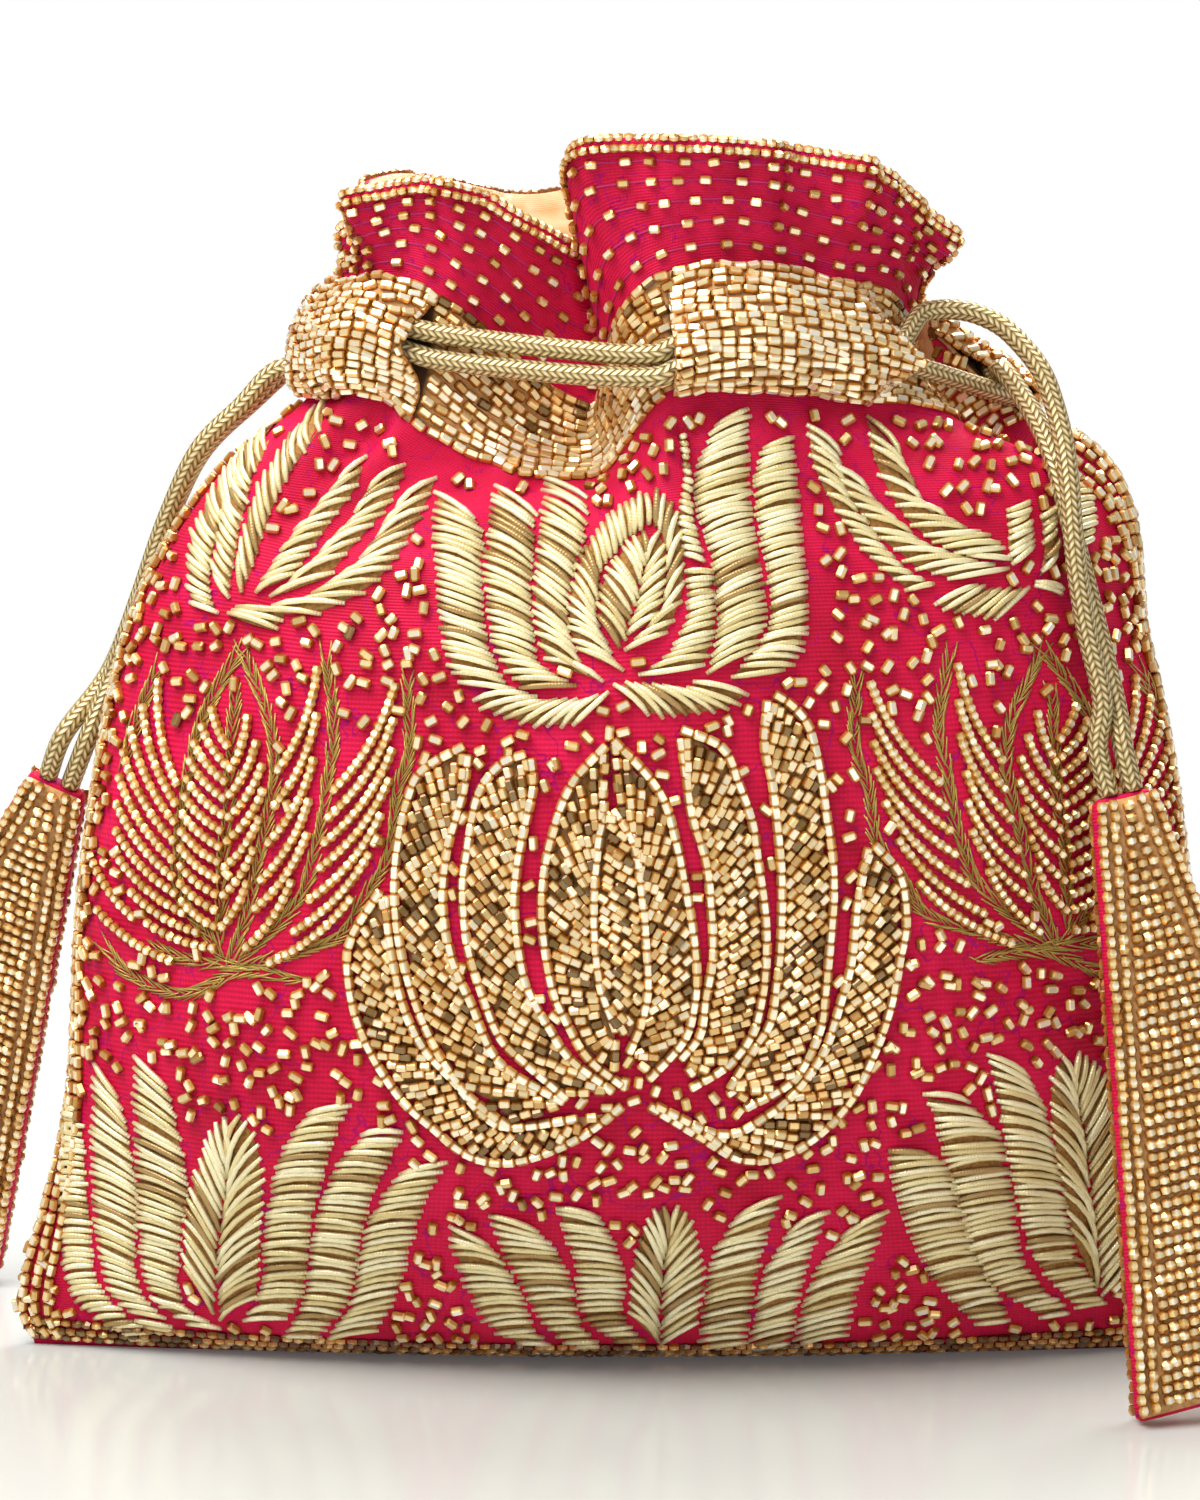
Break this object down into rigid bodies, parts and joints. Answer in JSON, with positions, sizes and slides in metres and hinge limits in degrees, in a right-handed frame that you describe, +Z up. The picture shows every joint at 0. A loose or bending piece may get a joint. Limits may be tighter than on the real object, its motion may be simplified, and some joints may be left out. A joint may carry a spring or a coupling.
{
  "type": "potli bag",
  "caption": "Soft drawstring pouch of embroidered silk with a gathered neck, braided drawcords through a beaded casing, and flat beaded tabs on the cord ends.",
  "frame": {"origin": "middle of the base, on the surface that the pouch stands on, measured without the cords and tabs", "axes": "+Z up, +X across the pouch, +Y to its back; the front faces -Y"},
  "size_m": [0.2936, 0.1046, 0.2246],
  "materials": {
    "silk": "crimson woven silk with a soft sheen",
    "satin": "peach satin lining",
    "beads": "gold-lined glass beads",
    "wire": "coiled gold-toned embroidery wire",
    "braid": "braided metallic gold cord"
  },
  "bodies": {
    "root": {"front_panel": "silk", "back_panel": "silk", "lining": "satin", "casing_front_left": "beads", "casing_front_right": "beads", "casing_back_left": "beads", "casing_back_right": "beads", "hem_edging_front": "beads", "hem_edging_back": "beads", "foot_edging_front": "beads", "foot_edging_back": "beads", "seam_edging_left": "beads", "seam_edging_right": "beads", "right_tab_core": "silk", "right_tab_front": "beads", "right_tab_back": "beads", "left_tab_core": "silk", "left_tab_front": "beads", "left_tab_back": "beads", "right_drawcord": "braid", "left_drawcord": "braid"}
  },
  "joints": []
}
